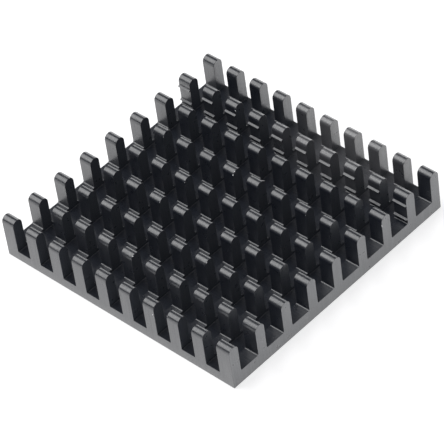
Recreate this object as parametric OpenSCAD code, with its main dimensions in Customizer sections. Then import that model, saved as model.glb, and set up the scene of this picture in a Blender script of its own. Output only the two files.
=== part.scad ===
// Pin fin heat sink, made as the real one is: a bar with round-tipped fins
// is extruded along X, then sawn crosswise so that each fin becomes a row of pins.
// Millimetres, +Z up. The origin is the centre of the underside. X runs along the
// extrusion, and the fins are counted from low Y to high Y.

/* [Base] */
// Length along the extrusion
sink_length = 40; // [32:0.1:56]
// Width across the fins
sink_width = 40; // [32:0.1:56]
// Height from the underside to the fin tips
sink_height = 6.65; // [5.5:0.05:12]
// Thickness of the base under the channels between the fins
base_thickness = 2; // [1.2:0.05:3.2]
// Radius on the two long edges of the underside
base_edge = 0.15; // [0.05:0.05:0.5]

/* [Fins] */
// Number of fins across the width
fin_count = 9; // [6:1:10]
// Thickness of a fin, and so the diameter of its round tip
fin_thickness = 1.6; // [1.2:0.05:2.2]
// Radius where a fin meets the channel floor
root_fillet = 0.2; // [0.1:0.05:0.4]

/* [Saw cuts] */
// Number of cuts across the fins
cut_count = 9; // [5:1:10]
// Width of a cut
cut_width = 2.3; // [1.4:0.05:2.6]
// Depth of a cut below the channel floor
cut_below_floor = 0.4; // [0.2:0.05:0.8]
// Radius in the two bottom corners of a cut
cut_corner = 0.15; // [0.05:0.05:0.4]
// Length of the pins left at the low X end
first_pin = 2.05; // [1.2:0.05:3]
// Length of the pins left at the high X end
last_pin = 2.2; // [1.2:0.05:3]

/* [Barbs] */
// Number of the fin that carries the two barbs
barbed_fin = 8; // [2:1:10]
// How far a barb stands out of its fin
barb_reach = 0.35; // [0.1:0.05:0.4]
// How far the upper side of a barb runs up its fin
barb_slope = 0.25; // [0.1:0.05:0.4]
// How far the underside of a barb runs down its fin
barb_lip = 0.1; // [0.05:0.05:0.2]
// Distance of the upper barb below the fin tips
upper_barb_drop = 1.65; // [1.4:0.05:1.8]
// Height of the lower barb above the channel floor
lower_barb = 0.65; // [0.5:0.05:1.2]

/* [Hidden] */
$fn = 48;
// Distance from one fin to the next that spreads the fins over the width
fin_pitch = (sink_width - fin_thickness) / (fin_count - 1);
// Distance from one cut to the next that leaves both end pins their length
cut_pitch = (sink_length - first_pin - last_pin - cut_width) / (cut_count - 1);
fin_height = sink_height - base_thickness;
tip_radius = fin_thickness / 2;
// How far a cutting shape runs past the solid it cuts, and a fin into the base
overrun = 1;

// One fin seen along the extrusion, standing on the channel floor
module fin_profile() {
    translate([-fin_thickness / 2, -overrun])
        square([fin_thickness, overrun + fin_height - tip_radius]);
    translate([0, fin_height - tip_radius])
        circle(r = tip_radius);
}

// The metal that rounds the corner on the high Y side of a fin's root
module root_corner() {
    reach = fin_thickness / 2 + root_fillet;
    difference() {
        translate([0, -overrun])
            square([reach, overrun + root_fillet]);
        translate([reach, root_fillet])
            circle(r = root_fillet);
    }
}

// One barb on the low Y side of its fin, a hooked wedge whose other half is inside the fin
module barb_profile(height) {
    polygon([
        [-fin_thickness / 2 - barb_reach, height],
        [-fin_thickness / 2 + barb_reach, height - 2 * barb_lip],
        [-fin_thickness / 2 + barb_reach, height + 2 * barb_slope]
    ]);
}

// The base seen along the extrusion
module base_profile() {
    side = sink_width / 2 - base_edge;
    translate([-sink_width / 2, base_edge])
        square([sink_width, base_thickness - base_edge]);
    translate([-side, 0])
        square([2 * side, base_thickness]);
    for (edge = [-side, side])
        translate([edge, base_edge])
            circle(r = base_edge);
}

// The whole extrusion seen along X
module bar_profile() {
    base_profile();
    for (fin = [1:fin_count])
        translate([(fin - (fin_count + 1) / 2) * fin_pitch, base_thickness]) {
            fin_profile();
            if (fin > 1)
                mirror([1, 0])
                    root_corner();
            if (fin < fin_count)
                root_corner();
            if (fin == barbed_fin)
                for (height = [lower_barb, fin_height - upper_barb_drop])
                    barb_profile(height);
        }
}

// One saw cut seen along Y, from its floor up past the tips
module cut_profile() {
    depth = fin_height + cut_below_floor + overrun;
    inner = cut_width / 2 - cut_corner;
    translate([-cut_width / 2, cut_corner])
        square([cut_width, depth - cut_corner]);
    translate([-inner, 0])
        square([2 * inner, depth]);
    for (side = [-inner, inner])
        translate([side, cut_corner])
            circle(r = cut_corner);
}

module saw_cuts() {
    first_cut = -sink_length / 2 + first_pin + cut_width / 2;
    cut_floor = base_thickness - cut_below_floor;
    for (cut = [0:cut_count - 1])
        translate([first_cut + cut * cut_pitch, sink_width / 2 + overrun, cut_floor])
            rotate([90, 0, 0])
                linear_extrude(sink_width + 2 * overrun)
                    cut_profile();
}

module heat_sink() {
    color([0.09, 0.09, 0.1])
        difference() {
            translate([-sink_length / 2, 0, 0])
                rotate([90, 0, 90])
                    linear_extrude(sink_length)
                        bar_profile();
            saw_cuts();
        }
}

heat_sink();
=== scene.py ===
# Pin fin heat sink in black anodised aluminium, on a white table.
import math
import random

import bmesh
import bpy
from mathutils import Matrix, Vector


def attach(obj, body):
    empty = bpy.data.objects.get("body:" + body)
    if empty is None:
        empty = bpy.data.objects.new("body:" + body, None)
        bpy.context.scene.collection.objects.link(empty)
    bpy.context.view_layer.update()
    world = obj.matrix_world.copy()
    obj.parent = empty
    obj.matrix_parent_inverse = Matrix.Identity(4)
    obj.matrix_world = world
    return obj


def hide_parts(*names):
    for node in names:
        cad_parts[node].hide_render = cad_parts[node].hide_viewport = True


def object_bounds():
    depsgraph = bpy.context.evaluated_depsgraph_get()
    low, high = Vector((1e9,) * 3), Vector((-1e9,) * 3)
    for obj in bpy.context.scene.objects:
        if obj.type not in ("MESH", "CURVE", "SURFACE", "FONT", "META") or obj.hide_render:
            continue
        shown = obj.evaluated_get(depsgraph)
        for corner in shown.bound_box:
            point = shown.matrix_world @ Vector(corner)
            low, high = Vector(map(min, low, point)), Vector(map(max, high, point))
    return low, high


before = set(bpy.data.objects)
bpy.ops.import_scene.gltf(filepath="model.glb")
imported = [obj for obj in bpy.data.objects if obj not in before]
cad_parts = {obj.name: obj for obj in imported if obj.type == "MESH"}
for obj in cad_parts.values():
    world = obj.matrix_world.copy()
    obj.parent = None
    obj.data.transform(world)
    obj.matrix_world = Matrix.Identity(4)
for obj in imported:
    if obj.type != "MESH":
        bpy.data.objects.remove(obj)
cadLow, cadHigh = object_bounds()
mm = 0.001

sink = {
    "finCount": 9,
    "finThickness": 1.6 * mm,
    "baseThickness": 2.0 * mm,
    "rootFillet": 0.2 * mm,
    "undersideEdge": 0.15 * mm,
    "cutCount": 9,
    "cutWidth": 2.3 * mm,
    "cutBelowFloor": 0.4 * mm,
    "cutCorner": 0.15 * mm,
    "firstPin": 2.05 * mm,
    "lastPin": 2.2 * mm,
    "barbedFin": 8,
    "barbReach": 0.3 * mm,
    "barbSlope": 0.17 * mm,     # up the fin from the barb's point
    "barbLip": 0.1 * mm,        # and down the fin
    "upperBarbDrop": 1.52 * mm,
    "lowerBarb": 0.76 * mm,
    "edgeBreak": 0.03 * mm,     # width of the broken edges that catch the light
    "edgeSegments": 2,
    "sharpAbove": 35,           # degrees between two faces whose edge is broken
    "tipSteps": 20,
    "filletSteps": 4,
}
near = 0.001 * mm           # lengths closer than this are the same
cornersPerMetre = 1e7       # how finely the corners of faces are told apart


def arc(centre, radius, fromDeg, toDeg, steps):
    points = []
    for i in range(steps + 1):
        a = math.radians(fromDeg + (toDeg - fromDeg) * i / steps)
        points.append((centre[0] + radius * math.cos(a), centre[1] + radius * math.sin(a)))
    return points


def pinRows(s, low, high):
    # where each row of pins starts and ends along x
    pitch = (high.x - low.x - s["firstPin"] - s["lastPin"] - s["cutWidth"]) / (s["cutCount"] - 1)
    cuts = [low.x + s["firstPin"] + i * pitch for i in range(s["cutCount"])]
    starts = [low.x] + [c + s["cutWidth"] for c in cuts]
    return list(zip(starts, cuts + [high.x]))


def finCentres(s, low, high):
    pitch = (high.y - low.y - s["finThickness"]) / (s["finCount"] - 1)
    return [low.y + s["finThickness"] / 2 + i * pitch for i in range(s["finCount"])]


def combOutline(s, low, high):
    # (y, z) over all the fins, from the low y side to the high y side
    half = s["finThickness"] / 2
    floor = low.z + s["baseThickness"]
    shoulder = high.z - half
    fillet = s["rootFillet"]
    outline = []
    for number, y in enumerate(finCentres(s, low, high), 1):
        if number > 1:
            outline += arc((y - half - fillet, floor + fillet), fillet, 270, 360, s["filletSteps"])
        if number == s["barbedFin"]:
            for tipHeight in (floor + s["lowerBarb"], high.z - s["upperBarbDrop"]):
                outline.append((y - half, tipHeight - s["barbLip"]))
                outline.append((y - half - s["barbReach"], tipHeight))
                outline.append((y - half, tipHeight + s["barbSlope"]))
        outline += arc((y, shoulder), half, 180, 0, s["tipSteps"])
        if number < s["finCount"]:
            outline += arc((y + half + fillet, floor + fillet), fillet, 180, 270, s["filletSteps"])
    return outline


level, sawn, tip, upright, root, barb = range(6)   # the order in which the skins are added


def faceMaker(bm):
    # gives a function that adds one face and shares the corners that faces have in common
    known = {}

    def corner(x, y, z):
        key = (round(x * cornersPerMetre), round(y * cornersPerMetre), round(z * cornersPerMetre))
        if key not in known:
            known[key] = bm.verts.new((x, y, z))
        return known[key]

    def face(points, place, flip=False):
        corners = [corner(*point) for point in points]
        made = bm.faces.new(reversed(corners) if flip else corners)
        made.material_index = place
        made.smooth = True

    return face


def addDrawnFaces(face, s, low, high, comb):
    # every face that runs along the extrusion from one cut to the next
    shoulder = comb[0][1]
    rootTop = low.z + s["baseThickness"] + s["rootFillet"] + near
    barbedSide = finCentres(s, low, high)[s["barbedFin"] - 1] - s["finThickness"] / 2
    barbedRoot = s["rootFillet"] * 1.1      # a little past the root corner under the barbs
    for x0, x1 in pinRows(s, low, high):
        for (ya, za), (yb, zb) in zip(comb, comb[1:]):
            if abs(zb - za) < near:
                place = level
            elif abs(yb - ya) < near:
                place = upright
            elif max(za, zb) < rootTop:
                # under the barbs the root takes the level skin, so painted shade dulls its fillet
                place = level if abs(ya - barbedSide) < barbedRoot else root
            else:
                place = tip if min(za, zb) > shoulder - near else barb
            face([(x0, ya, za), (x1, ya, za), (x1, yb, zb), (x0, yb, zb)], place)


def addUnderside(face, s, low, high, comb):
    # the underside with its two round edges, and the sawn ends of the bar
    edge = s["undersideEdge"]
    under = arc((low.y + edge, low.z + edge), edge, 180, 270, s["filletSteps"])
    under += arc((high.y - edge, low.z + edge), edge, 270, 360, s["filletSteps"])
    for (ya, za), (yb, zb) in zip(under, under[1:]):
        face([(low.x, ya, za), (low.x, yb, zb), (high.x, yb, zb), (high.x, ya, za)], level)
    for x, flip in ((low.x, False), (high.x, True)):
        face([(x, y, z) for y, z in comb + under[::-1]], sawn, flip)


def addCuts(face, s, low, high, comb):
    # the saw cuts, and the two long sides that show them as slots
    corner = s["cutCorner"]
    cutFloor = low.z + s["baseThickness"] - s["cutBelowFloor"]
    sideBottom = low.z + s["undersideEdge"]
    shoulder = comb[0][1]
    rows = pinRows(s, low, high)
    side = [(low.x, sideBottom), (high.x, sideBottom), (high.x, shoulder)]
    for (_, x1), (x2, _) in reversed(list(zip(rows, rows[1:]))):
        kerf = arc((x2 - corner, cutFloor + corner), corner, 0, -90, s["filletSteps"])
        kerf += arc((x1 + corner, cutFloor + corner), corner, -90, -180, s["filletSteps"])
        side += [(x2, shoulder)] + kerf + [(x1, shoulder)]
        for (xa, za), (xb, zb) in zip(kerf, kerf[1:]):
            face([(xa, low.y, za), (xa, high.y, za), (xb, high.y, zb), (xb, low.y, zb)], level)
        wall = comb + [(high.y, cutFloor + corner), (low.y, cutFloor + corner)]
        for x, flip in ((x1, True), (x2, False)):
            face([(x, y, z) for y, z in wall], sawn, flip)
    side.append((low.x, shoulder))
    for y, flip in ((low.y, False), (high.y, True)):
        face([(x, y, z) for x, z in side], upright, flip)


def buildSink(s, low, high):
    bm = bmesh.new()
    face = faceMaker(bm)
    comb = combOutline(s, low, high)
    addDrawnFaces(face, s, low, high, comb)
    addUnderside(face, s, low, high, comb)
    addCuts(face, s, low, high, comb)
    bmesh.ops.recalc_face_normals(bm, faces=bm.faces)
    mesh = bpy.data.meshes.new("heatSink")
    bm.to_mesh(mesh)
    bm.free()
    piece = bpy.data.objects.new("heatSinkBody", mesh)
    bpy.context.collection.objects.link(piece)

    bevel = piece.modifiers.new("edgeBreak", "BEVEL")
    bevel.width = s["edgeBreak"]
    bevel.segments = s["edgeSegments"]
    bevel.limit_method = "ANGLE"
    bevel.angle_limit = math.radians(s["sharpAbove"])
    bevel.use_clamp_overlap = False
    bevel.harden_normals = True
    return piece


anodise = {
    "colour": (0.013, 0.016, 0.024),
    "sawnPaintedLightColour": (0.066, 0.073, 0.087),    # painted light: the sawn faces are made lighter than the drawn ones, standing in for light the x-facing side misses
    "ior": 1.87,                # of the hard clear layer on the metal
    "roughness": 0.29,
    "cloud": 0.05,              # how much the roughness wanders
    "cloudScale": 900,          # waves in a metre
    "lineDepth": 0.005 * mm,    # fine lines left by the die and the saw
    "lineStrength": 0.5,
    "lineSpacing": 0.15 * mm,
    "mottle": 0.4,              # share of the shine that comes and goes over each face
    "mottleSize": 0.2 * mm,
    "noiseRange": (0.25, 0.75),     # which a noise seldom leaves
    "plainShine": 0.5,              # the shader's level for its index as it stands
    "paintedShadeReach": 5 * mm,     # painted shade: ambient occlusion within this reach dulls the shine in the channels
    "fullShadeShine": 0.2,        # shine under full painted shade, against 1 on the outside
    "paintedShadeSamples": 6,
    "paintedLightColour": (0.15, 0.15, 0.157),     # painted light: a paler pool near the back
    "paintedLightAt": (5.5 * mm, 18 * mm, 6 * mm),
    "paintedLightSize": (14 * mm, 8 * mm, 8 * mm),
}


def addNode(tree, kind, **inputs):
    made = tree.nodes.new(kind)
    for name, value in inputs.items():
        made.inputs[name].default_value = value
    return made


def noise(tree, vector, scale, detail, roughness):
    made = addNode(tree, "ShaderNodeTexNoise", Scale=scale, Detail=detail, Roughness=roughness)
    tree.links.new(vector, made.inputs["Vector"])
    return made.outputs["Fac"]


def spread(tree, source, low, high, toLow, toHigh):
    # source from low to high becomes toLow to toHigh
    made = tree.nodes.new("ShaderNodeMapRange")
    made.inputs["From Min"].default_value = low
    made.inputs["From Max"].default_value = high
    made.inputs["To Min"].default_value = toLow
    made.inputs["To Max"].default_value = toHigh
    tree.links.new(source, made.inputs["Value"])
    return made.outputs["Result"]


def multiplied(tree, one, other):
    made = tree.nodes.new("ShaderNodeMath")
    made.operation = "MULTIPLY"
    tree.links.new(one, made.inputs[0])
    tree.links.new(other, made.inputs[1])
    return made.outputs["Value"]


def colourWithPaintedLight(tree, place, look, colour):
    # the anodised colour, fading into a painted pool of paler light near the back
    paintedLightMap = tree.nodes.new("ShaderNodeMapping")
    shift = [-at / size for at, size in zip(look["paintedLightAt"], look["paintedLightSize"])]
    paintedLightMap.inputs["Scale"].default_value = [1 / size for size in look["paintedLightSize"]]
    paintedLightMap.inputs["Location"].default_value = shift
    tree.links.new(place, paintedLightMap.inputs["Vector"])
    paintedLightFade = tree.nodes.new("ShaderNodeTexGradient")
    paintedLightFade.gradient_type = "SPHERICAL"
    tree.links.new(paintedLightMap.outputs["Vector"], paintedLightFade.inputs["Vector"])
    dyeAndPaintedLight = tree.nodes.new("ShaderNodeMix")
    dyeAndPaintedLight.data_type = "RGBA"
    dyeAndPaintedLight.inputs["A"].default_value = (*look[colour], 1)
    dyeAndPaintedLight.inputs["B"].default_value = (*look["paintedLightColour"], 1)
    tree.links.new(paintedLightFade.outputs["Fac"], dyeAndPaintedLight.inputs["Factor"])
    return dyeAndPaintedLight.outputs["Result"]


def shineWithPaintedShade(tree, place, marks, look, fullShadeBelow, noShadeAbove, unshadedShine):
    # comes and goes with the fine marks and with small spots, and painted shade from ambient occlusion
    # dulls it in the channels
    half = look["mottle"] / 2
    plain = look["plainShine"]
    faint, strong = look["noiseRange"]
    spots = noise(tree, place, 1 / look["mottleSize"], 2, 0.6)
    inLines = spread(tree, marks, faint, strong, 1 - half, 1 + half)
    inSpots = spread(tree, spots, faint, strong, plain * (1 - half), plain * (1 + half))
    # painted shade: ambient occlusion sets how far the shine is dulled in the channels
    paintedShadeOcclusion = addNode(tree, "ShaderNodeAmbientOcclusion", Distance=look["paintedShadeReach"])
    paintedShadeOcclusion.samples = look["paintedShadeSamples"]
    paintedShadeOcclusion.only_local = True
    paintedShadeFactor = spread(tree, paintedShadeOcclusion.outputs["AO"], fullShadeBelow, noShadeAbove, look["fullShadeShine"], unshadedShine)
    return multiplied(tree, multiplied(tree, inLines, inSpots), paintedShadeFactor)


def anodisedSkin(name, look, grainAlong, colour="colour", fullShadeBelow=0.3, noShadeAbove=0.65,
                 unshadedShine=1):
    # grainAlong stretches the fine marks: the die lines of the extrusion, or the saw's.
    # The two limits are how open a spot is, from 0 to 1, where the painted shade is full
    # and where it is gone, so that the spot shines with the last argument.
    material = bpy.data.materials.new(name)
    material.use_nodes = True
    tree = material.node_tree
    shader = tree.nodes["Principled BSDF"]
    shader.inputs["IOR"].default_value = look["ior"]
    link = tree.links.new

    place = tree.nodes.new("ShaderNodeTexCoord").outputs["Object"]
    stretch = tree.nodes.new("ShaderNodeMapping")
    stretch.inputs["Scale"].default_value = grainAlong
    link(place, stretch.inputs["Vector"])
    marks = noise(tree, stretch.outputs["Vector"], 1 / look["lineSpacing"], 3, 0.6)
    link(colourWithPaintedLight(tree, place, look, colour), shader.inputs["Base Color"])

    rough = look["roughness"]
    cloud = noise(tree, place, look["cloudScale"], 3, 0.5)
    wander = spread(tree, cloud, 0, 1, rough - look["cloud"], rough + look["cloud"])
    link(wander, shader.inputs["Roughness"])

    shine = shineWithPaintedShade(tree, place, marks, look, fullShadeBelow, noShadeAbove, unshadedShine)
    link(shine, shader.inputs["Specular IOR Level"])

    bump = addNode(tree, "ShaderNodeBump", Strength=look["lineStrength"], Distance=look["lineDepth"])
    link(marks, bump.inputs["Height"])
    link(bump.outputs["Normal"], shader.inputs["Normal"])
    return material


heatSink = buildSink(sink, cadLow, cadHigh)
alongX = (0.01, 1, 1)       # fine marks drawn out along x
alongZ = (1, 1, 0.02)       # and upright ones
skins = heatSink.data.materials
# copies of one material that differ in colour, in their fine marks and in how much painted shade they get
skins.append(anodisedSkin("levelSkin", anodise, alongX))
# the sawn faces take the colour lightened with painted light, and shine up to 1.2 where no painted shade
# falls
skins.append(anodisedSkin("sawnFace", anodise, alongZ, "sawnPaintedLightColour", noShadeAbove=0.45, unshadedShine=1.2))
skins.append(anodisedSkin("tipSkin", anodise, alongX, fullShadeBelow=0.6, noShadeAbove=0.85))
skins.append(anodisedSkin("uprightSkin", anodise, alongZ, noShadeAbove=0.52))
skins.append(anodisedSkin("rootSkin", anodise, alongX, fullShadeBelow=0, noShadeAbove=0.1))
skins.append(anodisedSkin("barbSkin", anodise, alongX, fullShadeBelow=0.3, noShadeAbove=0.9))
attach(heatSink, "root")
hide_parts("heat_sink")
print("heat sink built:", len(heatSink.data.polygons), "faces before the edges are broken")

burrs = {
    "colour": (0.92, 0.92, 0.93),
    "roughness": 0.5,
    "thickness": 0.05 * mm,         # from the middle of a sliver to its corners
    # fin, pin, side of the fin (-1 low y, 1 high y), mm along the pin, mm below the tips, mm long
    "slivers": [
        (1, 7, -1, 1.66, 1.5, 0.3),
        (1, 7, -1, 1.7, 1.6, 0.3),
        (1, 7, -1, 1.72, 1.72, 0.2),
        (7, 10, -1, 2.2, 1.15, 0.22),
        (7, 10, -1, 2.2, 1.3, 0.2),
        (9, 10, 1, 2.15, 0.05, 0.22),
        (2, 7, -1, 1.8, 0.08, 0.45),
        (1, 8, -1, 0.0, 0.35, 0.3),
        (6, 6, 1, 1.85, 0.15, 0.35),
        (6, 5, -1, 1.8, 0.5, 0.2),
        (9, 8, 1, 1.8, 1.5, 0.16),
        (9, 8, 1, 1.8, 2.1, 0.14),
    ],
    "scattered": 12,
    "scatteredLength": 0.11,        # mm
    "scatteredRange": (0.6, 1.4),   # shortest and longest, in scattered lengths
    "scatteredDrop": (0.1, 0.7),    # mm below the tips
    "sunk": 0.15,                   # share of a sliver that is inside the metal
    "curl": 0.5,
    "taper": 0.8,                   # how much thinner the loose end is
    "steps": 4,                     # lengths that a sliver's curl is made of
    "corners": (0, 2.1, 4.2),       # radians round a sliver
    "seed": 7,
}


def addSliver(bm, b, foot, way, curl, length):
    across = way.orthogonal().normalized()
    over = way.cross(across)
    rings = []
    for step in range(b["steps"] + 1):
        t = step / b["steps"]
        middle = foot + (way * (t - b["sunk"]) + curl * b["curl"] * t * t) * length
        size = b["thickness"] * (1 - b["taper"] * t)
        ring = [middle + across * size * math.cos(a) + over * size * math.sin(a) for a in b["corners"]]
        rings.append([bm.verts.new(point) for point in ring])
    for one, two in zip(rings, rings[1:]):
        for k in range(len(one)):
            after = (k + 1) % len(one)
            bm.faces.new((one[k], one[after], two[after], two[k]))
    bm.faces.new(reversed(rings[0]))
    bm.faces.new(rings[-1])


def buildBurrs(b, s, low, high):
    # thin curled slivers of bare metal, thinner at the loose end
    chance = random.Random(b["seed"])
    rows = pinRows(s, low, high)
    fins = finCentres(s, low, high)
    half = s["finThickness"] / 2
    slivers = list(b["slivers"])
    for _ in range(b["scattered"]):
        # kept off the outer fins and the end pins
        fin = chance.randint(2, s["finCount"] - 1)
        pin = chance.randint(2, len(rows) - 1)
        x0, x1 = rows[pin - 1]
        drop = chance.uniform(*b["scatteredDrop"])
        length = b["scatteredLength"] * chance.uniform(*b["scatteredRange"])
        slivers.append((fin, pin, -1, (x1 - x0) / mm, drop, length))
    bm = bmesh.new()
    for fin, pin, side, along, below, length in slivers:
        drop = below * mm
        reach = half if drop >= half else math.sqrt(half ** 2 - (half - drop) ** 2)
        foot = Vector((rows[pin - 1][0] + along * mm, fins[fin - 1] + side * reach, high.z - drop))
        way = Vector((chance.uniform(0.2, 1), side * chance.uniform(0.1, 0.8), chance.uniform(-0.6, 0.2)))
        curl = Vector((chance.uniform(-0.6, 0.6), side * 0.3, chance.uniform(-1, 1)))
        addSliver(bm, b, foot, way.normalized(), curl, length * mm)
    mesh = bpy.data.meshes.new("sawBurrs")
    bm.to_mesh(mesh)
    bm.free()
    piece = bpy.data.objects.new("sawBurrs", mesh)
    bpy.context.collection.objects.link(piece)
    metal = bpy.data.materials.new("bareAluminium")
    metal.use_nodes = True
    shader = metal.node_tree.nodes["Principled BSDF"]
    shader.inputs["Base Color"].default_value = (*b["colour"], 1)
    shader.inputs["Metallic"].default_value = 1
    shader.inputs["Roughness"].default_value = b["roughness"]
    mesh.materials.append(metal)
    return piece


sawBurrs = buildBurrs(burrs, sink, cadLow, cadHigh)
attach(sawBurrs, "root")
print("burrs added:", len(sawBurrs.data.polygons), "faces")

table = {
    "size": 3.0,
    "colour": (0.6, 0.6, 0.61),
    "roughness": 0.8,
    "glow": 0.65,        # lifts the table to plain white where nothing shades it
    "mirrored": 1.0,     # and what the metal sees of it
}


def buildTable(t, under):
    mesh = bpy.data.meshes.new("table")
    h = t["size"] / 2
    corners = [(-h, -h, under), (h, -h, under), (h, h, under), (-h, h, under)]
    mesh.from_pydata(corners, [], [(0, 1, 2, 3)])
    floor = bpy.data.objects.new("table", mesh)
    bpy.context.collection.objects.link(floor)
    material = bpy.data.materials.new("tableWhite")
    material.use_nodes = True
    tree = material.node_tree
    shader = tree.nodes["Principled BSDF"]
    shader.inputs["Base Color"].default_value = (*t["colour"], 1)
    shader.inputs["Roughness"].default_value = t["roughness"]
    shader.inputs["Emission Color"].default_value = (1, 1, 1, 1)
    rays = tree.nodes.new("ShaderNodeLightPath")
    seen = tree.nodes.new("ShaderNodeMath")
    seen.operation = "MULTIPLY"
    seen.inputs[1].default_value = t["glow"]
    tree.links.new(rays.outputs["Is Camera Ray"], seen.inputs[0])
    mirrored = tree.nodes.new("ShaderNodeMath")
    mirrored.operation = "MULTIPLY_ADD"
    mirrored.inputs[1].default_value = t["mirrored"]
    tree.links.new(rays.outputs["Is Glossy Ray"], mirrored.inputs[0])
    tree.links.new(seen.outputs["Value"], mirrored.inputs[2])
    tree.links.new(mirrored.outputs["Value"], shader.inputs["Emission Strength"])
    mesh.materials.append(material)


buildTable(table, cadLow.z)

studio = {
    "sky": (1.0, 1.0, 1.02),
    "skyStrength": 0.15,
    "softboxes": [
        # name, distance, turn from +x, height angle, width, depth, brightness
        ("keySoftbox", 1.0, -153, 46, 1.0, 0.95, 2.8),
        ("backCard", 1.2, 125, 10, 1.0, 0.6, 2.2),
        ("topSoftbox", 1.1, 0, 78, 0.7, 0.7, 2.0),
    ],
}


def buildStudio(st, aim):
    world = bpy.data.worlds.new("studio")
    world.use_nodes = True
    bpy.context.scene.world = world
    back = world.node_tree.nodes["Background"]
    back.inputs["Color"].default_value = (*st["sky"], 1)
    back.inputs["Strength"].default_value = st["skyStrength"]
    for name, distance, turn, height, width, depth, brightness in st["softboxes"]:
        lamp = bpy.data.lights.new(name, "AREA")
        lamp.shape = "RECTANGLE"
        lamp.size = width
        lamp.size_y = depth
        lamp.energy = brightness * math.pi * width * depth
        holder = bpy.data.objects.new(name, lamp)
        bpy.context.collection.objects.link(holder)
        t, h = math.radians(turn), math.radians(height)
        away = Vector((math.cos(h) * math.cos(t), math.cos(h) * math.sin(t), math.sin(h)))
        holder.location = aim + away * distance
        holder.rotation_euler = away.to_track_quat("Z", "Y").to_euler()


middle = (cadLow + cadHigh) / 2
buildStudio(studio, middle)

shot = {
    "turn": -41.46,        # degrees from +x round to where the camera stands
    "height": 43.51,       # degrees above the table
    "tilt": -8.68,         # roll of the camera
    "distance": 0.3966,
    "lens": 247.04,
    "aimShift": (-0.308 * mm, 1.123 * mm),   # along the picture's right and up
}


def placeCamera(c, target):
    t, h, r = (math.radians(c[k]) for k in ("turn", "height", "tilt"))
    back = Vector((math.cos(h) * math.cos(t), math.cos(h) * math.sin(t), math.sin(h)))
    levelRight = Vector((0, 0, 1)).cross(back).normalized()
    levelUp = back.cross(levelRight)
    right = math.cos(r) * levelRight + math.sin(r) * levelUp
    up = back.cross(right)
    aim = target + right * c["aimShift"][0] + up * c["aimShift"][1]
    data = bpy.data.cameras.new("camera")
    data.lens = c["lens"]
    data.clip_start = 0.01
    data.clip_end = 20
    camera = bpy.data.objects.new("camera", data)
    bpy.context.collection.objects.link(camera)
    place = Matrix((right, up, back)).transposed().to_4x4()
    place.translation = aim + back * c["distance"]
    camera.matrix_world = place
    bpy.context.scene.camera = camera


placeCamera(shot, Vector((middle.x, middle.y, cadLow.z)))
bpy.context.scene.view_settings.view_transform = "Standard"
print("table, lights and camera placed")
